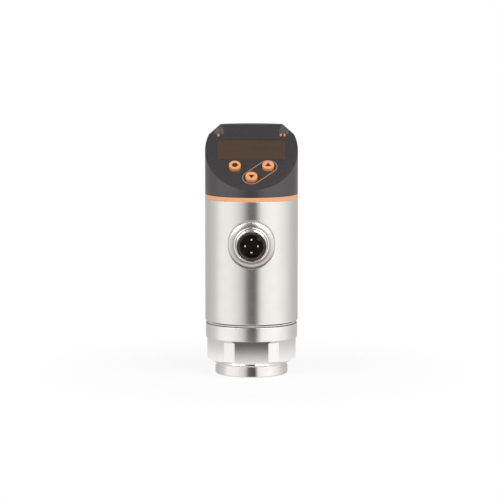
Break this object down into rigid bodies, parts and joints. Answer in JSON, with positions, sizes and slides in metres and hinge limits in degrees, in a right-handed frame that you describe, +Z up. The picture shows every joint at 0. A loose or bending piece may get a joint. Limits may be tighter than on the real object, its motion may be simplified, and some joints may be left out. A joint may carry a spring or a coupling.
{
  "type": "pressure transmitter",
  "caption": "Compact electronic pressure transmitter: turnable round steel housing, slanted display head with push buttons, round plug connector and hexagonal process body.",
  "frame": {"origin": "centre of the pressure port in the bottom face, on the housing's axis", "axes": "+Z up along the housing's axis, -Y out of the plug connector and the display's front, +X right"},
  "size_m": [0.036, 0.042, 0.0962],
  "materials": {
    "steel": "fine brushed stainless steel",
    "steel_turned": "turned stainless steel",
    "spring_steel": "plain",
    "nickel": "nickel plated, satin",
    "gold": "gold plated contacts",
    "bearing_plastic": "light grey slide ring",
    "accent_plastic": "translucent orange",
    "head_plastic": "dark grey, finely grained",
    "window_plastic": "tinted and glossy",
    "lens_plastic": "ribbed light guide",
    "led": "amber",
    "button_plastic": "orange, slightly translucent",
    "symbol_plastic": "dark",
    "insert_plastic": "black",
    "rubber": "black",
    "ceramic": "ceramic, stands in as a smooth pale surface",
    "board": "green circuit board",
    "module": "black display module",
    "carrier_plastic": "moulded",
    "ribbon": "amber flexible circuit"
  },
  "bodies": {
    "base": {"process_body": "steel_turned", "bearing_ring": "bearing_plastic", "neck_seal": "rubber", "retaining_ring": "spring_steel", "stop_pin": "spring_steel", "cell_seal": "rubber", "measuring_cell": "ceramic", "cell_support": "steel_turned", "sensor_board": "board"},
    "turning_housing": {"housing": "steel", "accent_ring": "accent_plastic", "head_shell": "head_plastic", "head_seal": "rubber", "display_window": "window_plastic", "display_module": "module", "display_board": "board", "board_screws": "spring_steel", "main_board": "board", "board_carrier": "carrier_plastic", "ribbon_cable": "ribbon", "status_lens_left": "lens_plastic", "status_lens_right": "lens_plastic", "status_leds": "led", "key_switches": "carrier_plastic", "connector_shell": "nickel", "connector_insert": "insert_plastic", "contact_pins": "gold", "connector_seal": "rubber", "connector_nut": "nickel"},
    "mode_key": {"button_mode": "button_plastic", "symbol_mode": "symbol_plastic"},
    "up_key": {"button_up": "button_plastic", "symbol_up": "symbol_plastic"},
    "down_key": {"button_down": "button_plastic", "symbol_down": "symbol_plastic"}
  },
  "joints": [
    {"name": "housing_turn", "type": "hinge", "parent": "base", "child": "turning_housing", "pos_m": [0, 0, 0.02595], "axis": [0, 0, 1], "range_deg": [-172.5, 172.5]},
    {"name": "press_mode", "type": "slide", "parent": "turning_housing", "child": "mode_key", "axis": [0, 0.6198, -0.7848], "range_m": [0, 0.0005], "stiffness_N_per_m": 1200},
    {"name": "press_up", "type": "slide", "parent": "turning_housing", "child": "up_key", "axis": [0, 0.6198, -0.7848], "range_m": [0, 0.0005], "stiffness_N_per_m": 1200},
    {"name": "press_down", "type": "slide", "parent": "turning_housing", "child": "down_key", "axis": [0, 0.6198, -0.7848], "range_m": [0, 0.0005], "stiffness_N_per_m": 1200}
  ]
}
